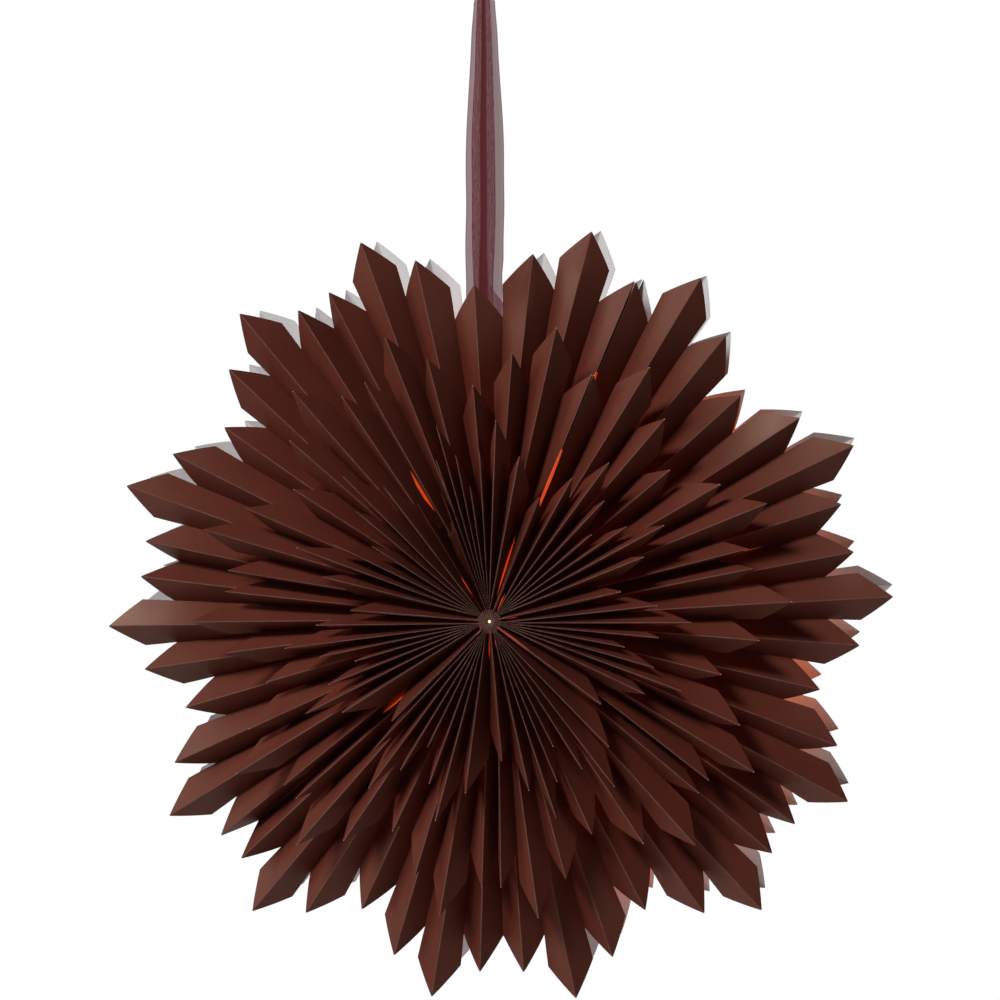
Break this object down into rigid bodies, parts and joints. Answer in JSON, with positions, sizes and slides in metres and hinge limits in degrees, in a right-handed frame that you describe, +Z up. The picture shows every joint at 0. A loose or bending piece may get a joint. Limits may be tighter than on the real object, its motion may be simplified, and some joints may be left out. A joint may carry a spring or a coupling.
{
  "type": "paper star lantern",
  "caption": "Hanging paper star lantern of seven pleated sections with stepped pointed leaves on both faces, a sheer ribbon loop and a lamp inside.",
  "frame": {"origin": "inside top of the ribbon's hanging loop, where it lies on its hook", "axes": "+Z up, -Y the way the star's front faces, +X to the right seen from the front; the star's own axis runs along Y, 500 mm below the origin and 12 mm to the right"},
  "size_m": [0.6106, 0.1684, 0.8021],
  "materials": {
    "brown_paper": "satin-coated brown paper outside, white inside",
    "sheer_ribbon": "sheer woven ribbon, dark red-brown",
    "beech_wood": "plain wooden rod",
    "steel_wire": "bright steel wire",
    "spring_steel": "spring steel",
    "black_plastic": "black moulded plastic",
    "brass": "threaded brass",
    "warm_glass": "warm opal glass, lit",
    "cap_metal": "bright cap metal"
  },
  "bodies": {
    "hook_loop": {"hanging_loop": "sheer_ribbon"},
    "hanging_ribbon": {"ribbon_strands": "sheer_ribbon"},
    "star": {"front_wall_outer_leaves_1": "brown_paper", "front_wall_middle_leaves_1": "brown_paper", "front_wall_front_leaves_1": "brown_paper", "back_wall_outer_leaves_1": "brown_paper", "back_wall_middle_leaves_1": "brown_paper", "back_wall_front_leaves_1": "brown_paper", "front_wall_outer_leaves_2": "brown_paper", "front_wall_middle_leaves_2": "brown_paper", "front_wall_front_leaves_2": "brown_paper", "back_wall_outer_leaves_2": "brown_paper", "back_wall_middle_leaves_2": "brown_paper", "back_wall_front_leaves_2": "brown_paper", "front_wall_outer_leaves_3": "brown_paper", "front_wall_middle_leaves_3": "brown_paper", "front_wall_front_leaves_3": "brown_paper", "back_wall_outer_leaves_3": "brown_paper", "back_wall_middle_leaves_3": "brown_paper", "back_wall_front_leaves_3": "brown_paper", "front_wall_outer_leaves_4": "brown_paper", "front_wall_middle_leaves_4": "brown_paper", "front_wall_front_leaves_4": "brown_paper", "back_wall_outer_leaves_4": "brown_paper", "back_wall_middle_leaves_4": "brown_paper", "back_wall_front_leaves_4": "brown_paper", "front_wall_outer_leaves_5": "brown_paper", "front_wall_middle_leaves_5": "brown_paper", "front_wall_front_leaves_5": "brown_paper", "back_wall_outer_leaves_5": "brown_paper", "back_wall_middle_leaves_5": "brown_paper", "back_wall_front_leaves_5": "brown_paper", "front_wall_outer_leaves_6": "brown_paper", "front_wall_middle_leaves_6": "brown_paper", "front_wall_front_leaves_6": "brown_paper", "back_wall_outer_leaves_6": "brown_paper", "back_wall_middle_leaves_6": "brown_paper", "back_wall_front_leaves_6": "brown_paper", "front_wall_outer_leaves_7": "brown_paper", "front_wall_middle_leaves_7": "brown_paper", "front_wall_front_leaves_7": "brown_paper", "back_wall_outer_leaves_7": "brown_paper", "back_wall_middle_leaves_7": "brown_paper", "back_wall_front_leaves_7": "brown_paper", "seam_panel_1": "brown_paper", "seam_panel_2": "brown_paper", "seam_panel_3": "brown_paper", "seam_panel_4": "brown_paper", "seam_panel_5": "brown_paper", "seam_panel_6": "brown_paper", "closing_panel_left": "brown_paper", "closing_panel_right": "brown_paper", "closing_clip": "spring_steel", "hanger_rod": "beech_wood", "lamp_stirrup": "steel_wire", "lamp_holder_shell": "black_plastic", "lamp_holder_sleeve": "brass", "ribbon_tail": "sheer_ribbon"},
    "bulb": {"bulb_glass": "warm_glass", "bulb_cap": "cap_metal"}
  },
  "joints": [
    {"name": "ribbon_swing", "type": "hinge", "parent": "hook_loop", "child": "hanging_ribbon", "pos_m": [0, 0, 0], "axis": [1, 0, 0], "range_deg": [-20, 20]},
    {"name": "star_turn", "type": "hinge", "parent": "hanging_ribbon", "child": "star", "pos_m": [0, 0, -0.188], "axis": [0, 0, 1], "range_deg": [-90, 90], "stiffness_Nm_per_rad": 0.006},
    {"name": "bulb_turn", "type": "hinge", "parent": "star", "child": "bulb", "pos_m": [0.012, 0, -0.478], "axis": [0, 0, -1], "range_deg": [0, 720]}
  ]
}
